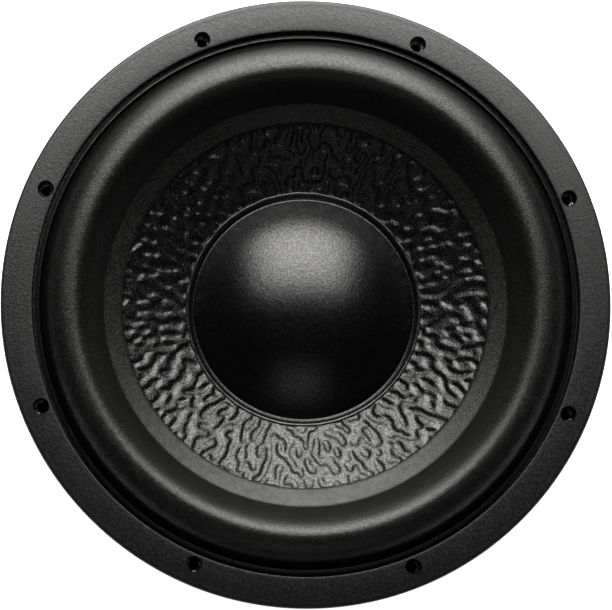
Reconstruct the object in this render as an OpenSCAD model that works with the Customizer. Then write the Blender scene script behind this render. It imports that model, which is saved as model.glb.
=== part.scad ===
// Twelve-inch car subwoofer driver. Units are millimetres.
// The origin is the centre of the mounting plane, which is the back face of the flange.
// +Z runs along the driver's axis, out of the cone, so the driver stands on its magnet.

/* [Mounting flange] */
// Outer diameter of the basket's flange
flange_d = 315; // [312:1:316]
// Thickness of the flange
flange_t = 6; // [5:0.5:7]
// Diameter of the basket just behind the flange, which drops into the baffle's cut-out
cutout_d = 281; // [279:1:283]
// Diameter of the bolt circle
bolt_circle_d = 296; // [294:0.5:298]
// Number of bolt holes
bolt_count = 8; // [4:4:8]
// Diameter of a bolt hole in the flange
bolt_hole_d = 6.5; // [5:0.5:7]

/* [Gasket] */
// Outer diameter of the gasket
gasket_d = 318; // [317:1:320]
// Inner diameter of the gasket
gasket_inner_d = 285.4; // [284:0.2:287]
// Height of the gasket above the flange
gasket_h = 12; // [9:0.5:14]
// Diameter of the clearance holes in the gasket
gasket_hole_d = 7.6; // [7.2:0.2:8.4]

/* [Surround] */
// Inner diameter of the roll, where the lip on the cone starts
roll_inner_d = 212.8; // [208:0.4:216]
// Outer diameter of the roll
roll_outer_d = 277.2; // [274:0.4:279]
// Height of the roll above the outer flange of the surround
roll_h = 17.5; // [14:0.5:20]
// Thickness of the foam in the roll
foam_t = 3; // [2:0.25:3.5]
// Inner diameter of the lip that is glued to the cone
lip_inner_d = 192.8; // [188:0.4:198]

/* [Cone and dust cap] */
// Slope of the cone against the mounting plane, in degrees
cone_slope = 32; // [28:1:34]
// Thickness of the cone's paper
paper_t = 1.8; // [1.2:0.2:2.4]
// Diameter of the dust cap's dome
cap_d = 117.6; // [110:0.4:122]
// Rise of the dust cap's dome above its edge
cap_rise = 21; // [15:1:26]
// Thickness of the dust cap
cap_t = 1.4; // [1:0.2:2]

/* [Voice coil] */
// Inner diameter of the former, a three-inch coil
coil_d = 76.2; // [76:0.1:76.6]
// Length of the winding
winding_len = 50; // [40:1:52]
// Radial build of one of the two windings
winding_t = 1.2; // [0.8:0.1:1.3]

/* [Spider] */
// Outer diameter of the spider
spider_d = 198; // [192:1:200]
// Number of corrugations
spider_waves = 5; // [3:1:7]
// Half the height of a corrugation
spider_wave_h = 3.2; // [2:0.2:4]

/* [Motor] */
// Diameter of the ferrite rings
magnet_d = 184; // [170:2:188]
// Thickness of one ferrite ring
magnet_t = 25; // [20:1:26]
// Diameter of the top plate
top_plate_d = 172; // [160:2:180]
// Thickness of the steel plates
plate_t = 12; // [10:1:14]
// Diameter of the vent through the pole
vent_d = 28; // [20:1:30]

/* [Basket] */
// Width of a spoke's outer face
spoke_w = 22; // [16:1:26]
// Thickness of a spoke's web
spoke_web_t = 7; // [5:1:10]

/* [Terminals] */
// Distance between the two posts of a terminal
post_gap = 18; // [17:1:20]
// Travel of a push button
button_travel = 4; // [3:0.5:4]
// Diameter of a tinsel lead
lead_d = 2.4; // [2:0.2:2.8]

/* [Hidden] */
$fn = 96;

// Six windows, so that one faces each terminal; a screw stands between every two spokes.
spoke_count = 6;

// Levels along Z.
foam_flange_t = 2.5;
foam_z = flange_t + foam_flange_t;  // front of the surround's outer flange
gasket_z = flange_t + gasket_h;
lip_z = foam_z - 2.3;               // front of the lip at the foot of the roll
shelf_z = -54;                      // front of the spider shelf
base_z = -85;                       // where the basket sits on the top plate
magnet_z = base_z - plate_t;
yoke_z = magnet_z - 2 * magnet_t;
back_z = yoke_z - plate_t;
boot_t = 2.6;

// Radii.
flange_r = flange_d / 2;
wall_r = cutout_d / 2;
wall_t = 3.5;
spigot_len = 14;                    // depth of the wall behind the flange
gasket_r = gasket_d / 2;
gasket_inner_r = gasket_inner_d / 2;
roll_inner_r = roll_inner_d / 2;
roll_outer_r = roll_outer_d / 2;
roll_r = (roll_inner_r + roll_outer_r) / 2;
roll_half_w = (roll_outer_r - roll_inner_r) / 2;
foam_edge_r = gasket_inner_r + 3.2; // outer edge of the surround, under the gasket
lip_inner_r = lip_inner_d / 2;
cone_edge_r = roll_inner_r + 2;
cap_r = cap_d / 2;
cap_skirt_w = 2.2;
bead_r = cap_r + 4.4;
former_r = coil_d / 2;
former_t = 0.5;
collar_r = former_r + former_t;
collar_t = 0.5;
neck_r = collar_r + collar_t;
coil_r = collar_r + 2 * winding_t;
spider_r = spider_d / 2;
shelf_inner_r = 91;
shelf_outer_r = 102;
plate_hole_r = coil_r + 1;
pole_r = former_r - 0.9;
magnet_r = magnet_d / 2;
magnet_hole_r = 52;
top_plate_r = top_plate_d / 2;
yoke_r = magnet_r - 4;
boot_r = magnet_r + 3.4;
base_inner_r = 56;
base_outer_r = 90;
frame_screw_r = 72;

// Fits and clearances.
glue_gap = 0.3;                     // between pieces that are glued across the moving joint
touch_gap = 0.05;
coil_mid_z = base_z - plate_t / 2;
winding_top_z = coil_mid_z + winding_len / 2;
winding_low_z = coil_mid_z - winding_len / 2;
lip_t = 1.3 / cos(cone_slope);
bead_ridge_r = 0.8;

// Front face of the cone, and of the lip glued on it, at a radius.
function lip_front(r) = lip_z - (roll_inner_r - r) * tan(cone_slope);
function cone_front(r) = lip_front(r) - lip_t - glue_gap;
paper_drop = paper_t / cos(cone_slope);

// Points of an arc of an ellipse, in the (radius, Z) plane.
function arc(c, rx, rz, from, to, n) =
    [for (i = [0 : n]) let (a = from + (to - from) * i / n) c + [rx * cos(a), rz * sin(a)]];

function reversed(list) = [for (i = [len(list) - 1 : -1 : 0]) list[i]];

module lathe(points) rotate_extrude(convexity = 8) polygon(points);

module tube(r_in, r_out, z_low, z_high)
    lathe([[r_in, z_low], [r_out, z_low], [r_out, z_high], [r_in, z_high]]);

module around(count, offset = 0)
    for (i = [0 : count - 1]) rotate(offset + i * 360 / count) children();

// A round tube swept along points; ref is a direction that no stretch of the path runs along.
module swept(path, r, sides, ref) {
    n = len(path);
    rings = [for (i = [0 : n - 1])
        let (t = path[min(i + 1, n - 1)] - path[max(i - 1, 0)],
             u = cross(t, ref) / norm(cross(t, ref)),
             v = cross(t, u) / norm(cross(t, u)))
        for (k = [0 : sides - 1])
            path[i] + r * (cos(k * 360 / sides) * u + sin(k * 360 / sides) * v)];
    walls = [for (i = [0 : n - 2]) for (k = [0 : sides - 1]) for (half = [0, 1])
        let (m = (k + 1) % sides, low = i * sides, high = low + sides)
        half == 0 ? [low + k, low + m, high + m] : [low + k, high + m, high + k]];
    ends = [[for (k = [sides - 1 : -1 : 0]) k], [for (k = [0 : sides - 1]) (n - 1) * sides + k]];
    polyhedron(rings, [for (f = concat(walls, ends)) reversed(f)], convexity = 4);
}

// ---- Basket ----

// The terminals' seats.
pad_y = shelf_outer_r + 3;          // face of a seat, measured from the axis
pad_w = 56;
pad_h = 22;
pad_z = shelf_z - 8;                // middle of a seat

// The screws that hold the basket to the top plate.
frame_shank_r = 2.9;
frame_shank_len = 15;
frame_head_r = 5;
frame_head_h = 6;
socket_r = 2.9;                     // the hexagonal socket, over its corners
base_t = 5;                         // thickness of the basket's base ring

// Outline of a spoke in the (radius, Z) plane; inner and outer edges run from the flange to the base.
spoke_outer = [[wall_r - 1, -2], [wall_r - 1, -16], [shelf_outer_r + 4, shelf_z],
               [shelf_outer_r + 2, shelf_z - 12], [base_outer_r, base_z]];
spoke_inner = [[wall_r - wall_t, -2], [127, -16], [shelf_outer_r - 4, shelf_z - 4],
               [shelf_outer_r - 6, shelf_z - 12], [base_outer_r - 14, base_z]];
spoke_face_t = 4;

module spoke_plate(outline, width)
    rotate([90, 0, 0]) linear_extrude(width, center = true) polygon(outline);

module spoke() {
    spoke_plate(concat(spoke_outer, reversed(spoke_inner)), spoke_web_t);
    spoke_plate(concat(spoke_outer, reversed([for (p = spoke_outer) p - [spoke_face_t, 0]])), spoke_w);
}

module basket() color([0.09, 0.09, 0.095]) difference() {
    union() {
        lathe([[wall_r - wall_t, -spigot_len], [wall_r, -spigot_len], [wall_r, 0], [flange_r, 0],
               [flange_r, flange_t], [wall_r - wall_t, flange_t]]);
        intersection() {
            around(spoke_count) spoke();
            tube(base_inner_r, wall_r, base_z, 0);
        }
        lathe([[shelf_inner_r, shelf_z - 5], [shelf_outer_r - 3, shelf_z - 12], [shelf_outer_r, shelf_z - 12],
               [shelf_outer_r, shelf_z + 3], [shelf_outer_r - 2, shelf_z + 3], [shelf_outer_r - 2, shelf_z],
               [shelf_inner_r, shelf_z]]);
        tube(base_inner_r, base_outer_r, base_z, base_z + base_t);
        around(2, 90) translate([shelf_outer_r - 3, -pad_w / 2, pad_z - pad_h / 2])
            cube([pad_y - shelf_outer_r + 3, pad_w, pad_h]);
    }
    around(bolt_count, 180 / bolt_count) translate([bolt_circle_d / 2, 0, -1])
        cylinder(d = bolt_hole_d, h = flange_t + 2);
    around(spoke_count, 180 / spoke_count) translate([frame_screw_r, 0, base_z - 1])
        cylinder(r = frame_shank_r + 0.1, h = base_t + 2);
    around(2, 90) for (s = [-1, 1]) translate([pad_y - 8, s * terminal_screw_x, pad_z])
        rotate([0, 90, 0]) cylinder(r = terminal_shank_r + 0.1, h = 10);
}

module frame_screws() color([0.13, 0.13, 0.14])
    around(spoke_count, 180 / spoke_count) translate([frame_screw_r, 0, base_z + base_t])
        difference() {
            union() {
                translate([0, 0, -frame_shank_len]) cylinder(r = frame_shank_r, h = frame_shank_len + 0.1);
                cylinder(r = frame_head_r, h = frame_head_h);
            }
            translate([0, 0, frame_head_h / 2]) cylinder(r = socket_r, h = frame_head_h, $fn = 6);
        }

// ---- Front trim and suspension ----

module mounting_gasket() color([0.11, 0.11, 0.11]) difference() {
    edge = 1.6;                     // rounding of the outer edge
    skirt_z = 2.5;                  // how far the gasket folds back over the flange's rim
    lathe(concat(
        [[gasket_inner_r, foam_z + touch_gap], [foam_edge_r + touch_gap, foam_z + touch_gap],
         [foam_edge_r + touch_gap, flange_t], [flange_r + 0.3, flange_t], [flange_r + 0.3, skirt_z],
         [gasket_r, skirt_z]],
        arc([gasket_r - edge, gasket_z - edge - 0.5], edge, edge, 0, 80, 6),
        arc([gasket_inner_r + 0.8, gasket_z - 0.8], 0.8, 0.8, 90, 180, 4)));
    around(bolt_count, 180 / bolt_count) translate([bolt_circle_d / 2, 0, 0])
        cylinder(d = gasket_hole_d, h = gasket_z + 2);
}

// The surround's outer flange, the ridge beside it, the roll and the lip that follows the cone.
module surround() color([0.07, 0.07, 0.07]) {
    ridge_r = roll_outer_r + 1.8;
    c = [roll_r, foam_z];
    front = concat(
        [[foam_edge_r, foam_z]],
        arc([ridge_r, foam_z], bead_ridge_r, bead_ridge_r, 0, 180, 6),
        arc(c, roll_half_w, roll_h, 0, 180, 32),
        [[roll_inner_r, lip_z], [lip_inner_r, lip_front(lip_inner_r)]]);
    back = concat(
        [[lip_inner_r, lip_front(lip_inner_r) - lip_t],
         [roll_inner_r + foam_t, lip_front(roll_inner_r + foam_t) - lip_t]],
        arc(c, roll_half_w - foam_t, roll_h - foam_t, 180, 0, 28),
        [[roll_outer_r - foam_t, flange_t], [foam_edge_r, flange_t]]);
    lathe(concat(front, back));
}

function spider_wave(r) = spider_wave_h *
    sin((r - neck_r - 4) / (shelf_inner_r - neck_r - 6) * 360 * spider_waves);

// The corrugated spider, with its flat landing outside and its upturned neck inside.
module spider() color([0.62, 0.53, 0.30]) {
    cloth_t = 0.9;
    mid_z = shelf_z + cloth_t;
    steps = spider_waves * 10;
    inner = neck_r + 4;
    outer = shelf_inner_r - 2;
    wave = [for (i = [0 : steps]) let (r = inner + (outer - inner) * i / steps) [r, mid_z + spider_wave(r)]];
    landing = [[shelf_inner_r, mid_z], [spider_r, mid_z]];
    neck_in = neck_r + glue_gap;
    top = concat([[neck_in + cloth_t, mid_z + 5], [neck_in + cloth_t, mid_z]], wave, landing);
    low = [for (p = concat([[neck_in, mid_z]], wave, landing)) p - [0, cloth_t]];
    lathe(concat(top, reversed(low), [[neck_in, mid_z + 5]]));
}

// ---- Moving assembly ----

module cone() color([0.04, 0.04, 0.04])
    lathe([[neck_r + touch_gap, cone_front(neck_r)], [cone_edge_r, cone_front(cone_edge_r)],
           [cone_edge_r, cone_front(cone_edge_r) - paper_drop],
           [neck_r + touch_gap, cone_front(neck_r) - paper_drop]]);

cap_z = cone_front(cap_r) + cap_t + touch_gap;
cap_sphere_r = (cap_r * cap_r + cap_rise * cap_rise) / (2 * cap_rise);

module dust_cap() color([0.06, 0.06, 0.065]) {
    centre = [0, cap_z + cap_rise - cap_sphere_r];
    half = asin(cap_r / cap_sphere_r);
    skirt_r = cap_r + cap_skirt_w;
    dome = arc(centre, cap_sphere_r, cap_sphere_r, 90, 90 - half, 18);
    inside = arc(centre, cap_sphere_r - cap_t, cap_sphere_r - cap_t, 90 - half, 90, 18);
    lathe(concat(dome,
        [[skirt_r, cone_front(skirt_r) + cap_t], [skirt_r, cone_front(skirt_r) + touch_gap],
         [cap_r, cone_front(cap_r) + touch_gap]],
        inside));
}

// The adhesive between the dust cap's skirt and the cone.
module dust_cap_glue_bead() color([0.05, 0.05, 0.05]) {
    start = cap_r + cap_skirt_w + touch_gap;
    lathe([[start, cone_front(start) + touch_gap], [bead_r, cone_front(bead_r) + touch_gap],
           [bead_r - 0.3, cone_front(bead_r) + 0.45], [start + 0.9, cone_front(start + 0.9) + 0.9],
           [start, cone_front(start) + 1]]);
}

module voice_coil_former() color([0.72, 0.72, 0.70])
    tube(former_r, collar_r, winding_low_z - 2, cone_front(neck_r) + 4);

module former_collar() color([0.80, 0.74, 0.58])
    tube(collar_r, neck_r, winding_top_z + 4, cone_front(neck_r) + 1);

module winding(index) color([0.72, 0.38, 0.16])
    tube(collar_r + index * winding_t, collar_r + (index + 1) * winding_t, winding_low_z, winding_top_z);

// ---- Motor ----

module top_plate() color([0.18, 0.18, 0.19]) difference() {
    tube(plate_hole_r, top_plate_r, magnet_z, base_z);
    around(spoke_count, 180 / spoke_count) translate([frame_screw_r, 0, base_z - 11])
        cylinder(r = frame_shank_r + 0.1, h = 12);
}

module magnet(index) color([0.16, 0.16, 0.17]) {
    chamfer = 1.5;
    low = yoke_z + index * magnet_t;
    high = low + magnet_t;
    lathe([[magnet_hole_r, low], [magnet_r - chamfer, low], [magnet_r, low + chamfer],
           [magnet_r, high - chamfer], [magnet_r - chamfer, high], [magnet_hole_r, high]]);
}

screen_r = vent_d / 2 + 4;
screen_t = 1;

// The pole and the back plate in one piece, with a groove that lets the coil travel
// and a seat for the screen.
module t_yoke() color([0.20, 0.20, 0.21]) {
    vent_r = vent_d / 2;
    groove_z = yoke_z - 4;
    seat_z = back_z + 1.6;
    lathe([[vent_r, seat_z], [screen_r + 0.2, seat_z], [screen_r + 0.2, back_z], [yoke_r - 2, back_z],
           [yoke_r, back_z + 2], [yoke_r, yoke_z], [coil_r + 4, yoke_z], [coil_r + 3, groove_z],
           [pole_r, groove_z], [pole_r, base_z - 1], [pole_r - 2, base_z + 1], [vent_r + 3, base_z + 1],
           [vent_r, base_z - 2]]);
}

module pole_vent_screen() color([0.30, 0.30, 0.31]) difference() {
    pitch = 4.2;
    translate([0, 0, back_z + 0.5]) cylinder(r = screen_r, h = screen_t);
    for (i = [-3 : 3], j = [-3 : 3])
        let (x = (i + j / 2) * pitch, y = j * pitch * sin(60))
        if (norm([x, y]) < vent_d / 2 - 1)
            translate([x, y, back_z]) cylinder(r = 1.5, h = 2, $fn = 24);
}

// The rubber boot around the magnets. The driver stands on its turned-in lip, and its front lip
// closes on the top plate.
module magnet_boot() color([0.08, 0.08, 0.08]) {
    inner_r = magnet_r + 0.3;
    lip_r = 76;
    low = back_z - boot_t;
    front = magnet_z + boot_t;
    lathe([[lip_r, low], [boot_r - 3, low], [boot_r, low + 3], [boot_r, magnet_z - 6],
           [boot_r + 1, magnet_z - 5], [boot_r + 1, magnet_z - 2], [boot_r, magnet_z - 1],
           [boot_r, front - 2], [boot_r - 2, front], [top_plate_r + 0.3, front],
           [top_plate_r + 0.3, magnet_z + 0.1], [inner_r, magnet_z + 0.1], [inner_r, back_z - 0.1],
           [lip_r, back_z - 0.1]]);
}

// ---- Terminals ----
// Drawn with the seat in the plane Y = 0, the posts along +Y and the front of the driver up.

block_w = 38;
block_h = 18;
block_t = 10;
base_margin = 1;                    // of the seat that shows round the base plate
collar_len = 20;
post_r = 7;
sleeve_r = 4.7;
sleeve_t = 0.5;
plunger_r = sleeve_r - sleeve_t - 0.1;
wire_hole_r = 2;
wire_hole_y = 15;
plunger_y = 11;                     // inner end of the plunger at rest, where the spring pushes
cap_len = 7;
button_cap_r = 6.8;
spring_y = 2.4;
spring_wire_r = 0.35;
terminal_screw_x = 24;
terminal_shank_r = 1.5;
terminal_shank_len = 8.5;
terminal_head_r = 2.9;
base_plate_t = 3.5;
tab_w = 5;
tab_t = 0.8;
tab_y = 4.4;                        // inner face of a solder tab
tab_top = block_h / 2 + 7;
tab_eye_z = block_h / 2 + 4.5;
tab_eye_r = 1.1;

module at_terminal(index) rotate(index * 180) translate([0, pad_y + touch_gap, pad_z]) children();

module post_axis(side) translate([side * post_gap / 2, 0, 0]) rotate([-90, 0, 0]) children();

module terminal_base(index) color([0.05, 0.05, 0.05]) at_terminal(index) difference() {
    union() {
        translate([base_margin - pad_w / 2, 0, base_margin - pad_h / 2])
            cube([pad_w - 2 * base_margin, base_plate_t, pad_h - 2 * base_margin]);
        translate([-block_w / 2, 0, -block_h / 2]) cube([block_w, block_t, block_h]);
        for (s = [-1, 1]) post_axis(s) cylinder(r = post_r, h = collar_len);
    }
    for (s = [-1, 1]) {
        post_axis(s) translate([0, 0, spring_y]) cylinder(r = sleeve_r, h = collar_len);
        translate([s * post_gap / 2, wire_hole_y, -20]) cylinder(r = wire_hole_r, h = 40);
        translate([s * terminal_screw_x, -1, 0]) rotate([-90, 0, 0])
            cylinder(r = terminal_shank_r + 0.1, h = 10);
        translate([s * post_gap / 2 - tab_w / 2 - 0.1, tab_y - 0.4, 0])
            cube([tab_w + 0.2, tab_t + 0.8, block_h]);
    }
}

// Each contact is a plated sleeve in the post with a solder tab that stands out of the block.
module terminal_contacts(index) color([0.78, 0.66, 0.34]) at_terminal(index)
    for (s = [-1, 1]) difference() {
        union() {
            post_axis(s) translate([0, 0, spring_y + touch_gap])
                cylinder(r = sleeve_r - touch_gap, h = collar_len - spring_y - 0.4);
            translate([s * post_gap / 2 - tab_w / 2, tab_y, sleeve_r - 1])
                cube([tab_w, tab_t, tab_top - sleeve_r + 1]);
        }
        post_axis(s) translate([0, 0, spring_y + 0.6]) cylinder(r = sleeve_r - sleeve_t, h = collar_len);
        translate([s * post_gap / 2, wire_hole_y, -20]) cylinder(r = wire_hole_r, h = 40);
        translate([s * post_gap / 2, tab_y - 1, tab_eye_z]) rotate([-90, 0, 0])
            cylinder(r = tab_eye_r, h = tab_t + 2);
    }

// The button's plunger has a cross hole that lines up with the post's wire hole when it is pressed.
module push_button(index, side) at_terminal(index) difference() {
    union() {
        post_axis(side) translate([0, 0, plunger_y])
            cylinder(r = plunger_r, h = collar_len + button_travel + 0.3 - plunger_y + 1);
        post_axis(side) translate([0, 0, collar_len + button_travel + 0.3]) {
            cylinder(r = button_cap_r, h = cap_len - 1);
            translate([0, 0, cap_len - 1]) cylinder(r1 = button_cap_r, r2 = button_cap_r - 1, h = 1);
        }
    }
    translate([side * post_gap / 2, wire_hole_y + button_travel, -20]) cylinder(r = wire_hole_r, h = 40);
}

module button_spring(index, side) color([0.75, 0.75, 0.77]) at_terminal(index) {
    turns = 5;
    per_turn = 10;
    r = plunger_r - 1;
    low = spring_y + 1 + spring_wire_r;
    high = plunger_y - spring_wire_r - 0.1;
    n = turns * per_turn;
    swept([for (i = [0 : n]) [side * post_gap / 2 + r * cos(i * 360 / per_turn), low + (high - low) * i / n,
                              r * sin(i * 360 / per_turn)]], spring_wire_r, 6, [0, 1, 0]);
}

module terminal_screws() color([0.55, 0.55, 0.57])
    for (index = [0, 1], s = [-1, 1]) at_terminal(index)
        translate([s * terminal_screw_x, base_plate_t + 0.02, 0]) rotate([-90, 0, 0]) difference() {
            union() {
                translate([0, 0, -terminal_shank_len])
                    cylinder(r = terminal_shank_r, h = terminal_shank_len + 0.1);
                cylinder(r = terminal_head_r, h = 1);
                translate([0, 0, 1]) cylinder(r1 = terminal_head_r, r2 = terminal_head_r - 1, h = 0.9);
            }
            for (a = [0, 90]) rotate(a) translate([-1.7, -0.35, 0.8]) cube([3.4, 0.7, 2]);
        }

// Route of one tinsel lead, in the plane across the driver, from the solder tab to the coil's neck.
lead_route = [[9, 109.3, -48.5], [9, 107.4, -48.3], [9, 105, -46.8], [9, 102, -45], [9.5, 98, -43.2],
              [10, 93, -42], [10.5, 87, -41.6], [11, 81, -42.2], [11, 75, -43.2], [10.5, 69, -44],
              [10, 63, -44], [9, 57, -43.6], [8, 52, -43.2], [7, 47, -43.4], [6, 43, -44.4], [5.6, 41, -46]];

module tinsel_lead(index, side) color([0.74, 0.70, 0.62]) rotate(index * 180)
    swept([for (p = lead_route) [side * p[0], p[1], p[2]]], lead_d / 2, 8, [1, 0, 0]);

red = [0.60, 0.04, 0.04];
black = [0.05, 0.05, 0.05];

basket();
frame_screws();
mounting_gasket();
surround();
spider();
cone();
dust_cap();
dust_cap_glue_bead();
voice_coil_former();
former_collar();
winding(0);  // voice_coil_inner
winding(1);  // voice_coil_outer
top_plate();
magnet(0);  // magnet_rear
magnet(1);  // magnet_front
t_yoke();
pole_vent_screen();
magnet_boot();
terminal_base(0);  // terminal_base_1
terminal_base(1);  // terminal_base_2
terminal_contacts(0);  // terminal_contacts_1
terminal_contacts(1);  // terminal_contacts_2
color(red) push_button(0, 1);  // button_red_1
color(black) push_button(0, -1);  // button_black_1
color(red) push_button(1, 1);  // button_red_2
color(black) push_button(1, -1);  // button_black_2
button_spring(0, 1);  // button_spring_red_1
button_spring(0, -1);  // button_spring_black_1
button_spring(1, 1);  // button_spring_red_2
button_spring(1, -1);  // button_spring_black_2
terminal_screws();
tinsel_lead(0, 1);  // tinsel_lead_red_1
tinsel_lead(0, -1);  // tinsel_lead_black_1
tinsel_lead(1, 1);  // tinsel_lead_red_2
tinsel_lead(1, -1);  // tinsel_lead_black_2
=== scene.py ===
"""The looks of a twelve-inch car subwoofer driver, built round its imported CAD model.

The shapes below are in millimetres, in the CAD frame: +Z out of the cone, Z = 0 at the back of the flange.
Meshes are scaled to metres when they are made.
"""
import math
from collections import namedtuple
from contextlib import contextmanager

import bmesh
import bpy
import numpy as np
from mathutils import Matrix, Vector


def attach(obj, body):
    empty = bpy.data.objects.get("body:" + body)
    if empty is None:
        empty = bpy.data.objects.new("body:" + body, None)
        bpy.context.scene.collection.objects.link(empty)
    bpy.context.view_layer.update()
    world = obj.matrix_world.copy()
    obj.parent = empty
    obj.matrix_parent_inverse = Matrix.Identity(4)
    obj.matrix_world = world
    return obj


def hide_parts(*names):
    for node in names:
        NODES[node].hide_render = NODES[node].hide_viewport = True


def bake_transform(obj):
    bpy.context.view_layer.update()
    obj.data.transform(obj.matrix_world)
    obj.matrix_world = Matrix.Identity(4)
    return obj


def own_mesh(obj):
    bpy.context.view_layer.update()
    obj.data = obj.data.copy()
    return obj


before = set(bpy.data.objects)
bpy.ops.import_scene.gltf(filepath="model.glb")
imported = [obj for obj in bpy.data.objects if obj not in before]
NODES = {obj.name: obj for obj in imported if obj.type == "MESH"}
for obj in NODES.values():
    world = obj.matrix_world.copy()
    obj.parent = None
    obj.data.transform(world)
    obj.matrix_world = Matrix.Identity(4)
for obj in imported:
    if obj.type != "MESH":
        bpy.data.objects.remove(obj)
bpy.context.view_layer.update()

MM = 0.001
SEGMENTS = 384

# ---- Sizes, from the frame ----

Extent = namedtuple("Extent", "inner outer low high")


def points_of(obj):
    """A mesh's points in millimetres, and their radii about the axis."""
    points = np.array([v.co for v in obj.data.vertices]) / MM
    return points, np.hypot(points[:, 0], points[:, 1])


def extent(node):
    """Inner and outer radius about the axis, and lowest and highest Z, of a CAD node."""
    points, radii = points_of(NODES[node])
    return Extent(radii.min(), radii.max(), points[:, 2].min(), points[:, 2].max())


def front_line(node):
    """Height of a conical node's front face, as a function of the radius, and its slope."""
    points, radii = points_of(NODES[node])
    r_in, r_out = radii.min(), radii.max()
    z_in = points[radii < r_in + 0.01, 2].max()
    z_out = points[radii > r_out - 0.01, 2].max()
    slope = (z_out - z_in) / (r_out - r_in)
    return (lambda r: z_out - (r_out - r) * slope), slope


BASKET = extent("basket")
GASKET = extent("mounting_gasket")
SURROUND = extent("surround")
SPIDER = extent("spider")
CONE = extent("cone")
CAP = extent("dust_cap")
BEAD = extent("dust_cap_glue_bead")
FORMER = extent("voice_coil_former")
COLLAR = extent("former_collar")
TOP_PLATE = extent("top_plate")
YOKE = extent("t_yoke")
BOOT = extent("magnet_boot")
SCREEN = extent("pole_vent_screen")
cone_front, CONE_SLOPE = front_line("cone")
CONE_ANGLE = math.atan(CONE_SLOPE)

# What the frame's boxes don't say, as in the CAD source.
FLANGE_T = BASKET.high
BOLT_COUNT = 8
BOLT_R = 148.0
BOLT_HOLE_R = 3.25
GASKET_HOLE_R = 3.8
FOAM_FLANGE_T = 2.5
FOAM_Z = FLANGE_T + FOAM_FLANGE_T
FOAM_T = 3.0
ROLL_INNER = CONE.outer - 2.0
ROLL_OUTER = 138.6
ROLL_R = (ROLL_INNER + ROLL_OUTER) / 2
ROLL_HALF_W = (ROLL_OUTER - ROLL_INNER) / 2
ROLL_H = SURROUND.high - FOAM_Z
RING_R = ROLL_OUTER + 1.5   # the ring beside the roll, taller than the CAD's bead; its top falls outwards
RING_HALF_W = 0.95
RING_H = 7.4
RING_FALL = 1.1
RING_EDGE = 0.12
LIP_T = 1.3 / math.cos(CONE_ANGLE)
GLUE_GAP = 0.3
PAPER_DROP = 1.8 / math.cos(CONE_ANGLE)
CAP_R = 58.8
CAP_RISE = 21.0
CAP_T = 1.4
SHELF_Z = -54.0
SPOKE_COUNT = 6
WALL_R = 140.5
WALL_T = 3.5
SPIGOT_LEN = 14.0
SHELF_INNER = 91.0
SHELF_OUTER = 102.0
BASE_INNER = 56.0
BASE_OUTER = 90.0
BASE_T = 5.0
FRAME_SCREW_R = 72.0
PAD_Y = SHELF_OUTER + 3.0
PAD_Z = SHELF_Z - 8.0


def lip_front(r):
    return cone_front(r) + GLUE_GAP + LIP_T


# ---- Outlines ----


def rectangle(x0, x1, y0, y1):
    return [(x0, y0), (x1, y0), (x1, y1), (x0, y1)]


def arc(centre, rx, rz, start, end, count):
    """Points of an elliptical arc in the (radius, Z) plane, angles in degrees."""
    angles = np.radians(np.linspace(start, end, count + 1))
    return [(centre[0] + rx * math.cos(a), centre[1] + rz * math.sin(a)) for a in angles]


def inset(points, distance):
    """The inner points of a line moved to its right by a distance."""
    out = []
    for before, here, after in zip(points, points[1:], points[2:]):
        along = (Vector(after) - Vector(before)).normalized()
        out.append((here[0] + along.y * distance, here[1] - along.x * distance))
    return out


def rounded(points, radius, steps=4):
    """A closed outline with its corners rounded; radius is one number, or one for each corner."""
    radii = radius if isinstance(radius, (list, tuple)) else [radius] * len(points)
    out = []
    for i, here in enumerate(points):
        p = Vector(here)
        before = Vector(points[i - 1]) - p
        after = Vector(points[(i + 1) % len(points)]) - p
        half = before.angle(after) / 2
        straight = half > 1.56
        reach = 0 if straight else min(radii[i] / math.tan(half), 0.45 * before.length, 0.45 * after.length)
        if reach < 1e-4:
            out.append(tuple(p))
            continue
        a = p + before.normalized() * reach
        b = p + after.normalized() * reach
        for k in range(steps + 1):
            t = k / steps
            q = a * (1 - t) ** 2 + p * 2 * t * (1 - t) + b * t * t
            out.append(tuple(q))
    return out


def counter_clockwise(points):
    area = sum(points[i - 1][0] * p[1] - p[0] * points[i - 1][1] for i, p in enumerate(points))
    return points if area > 0 else points[::-1]


# ---- Meshes ----


def made(name, verts, faces, smooth=35, uv=None):
    """A mesh object from points in millimetres, with smooth shading and sharp edges above an angle."""
    mesh = bpy.data.meshes.new(name)
    if isinstance(faces, np.ndarray):
        faces = faces.tolist()
    mesh.from_pydata((np.asarray(verts, float) * MM).tolist(), [], faces)
    if uv is not None:
        mesh.uv_layers.new(name="Strip").data.foreach_set("uv", np.asarray(uv, np.float32).ravel())
    obj = bpy.data.objects.new(name, mesh)
    bpy.context.scene.collection.objects.link(obj)
    return shade(obj, smooth)


def shade(obj, angle=35):
    obj.data.polygons.foreach_set("use_smooth", [True] * len(obj.data.polygons))
    obj.data.set_sharp_from_angle(angle=math.radians(angle))
    return obj


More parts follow.
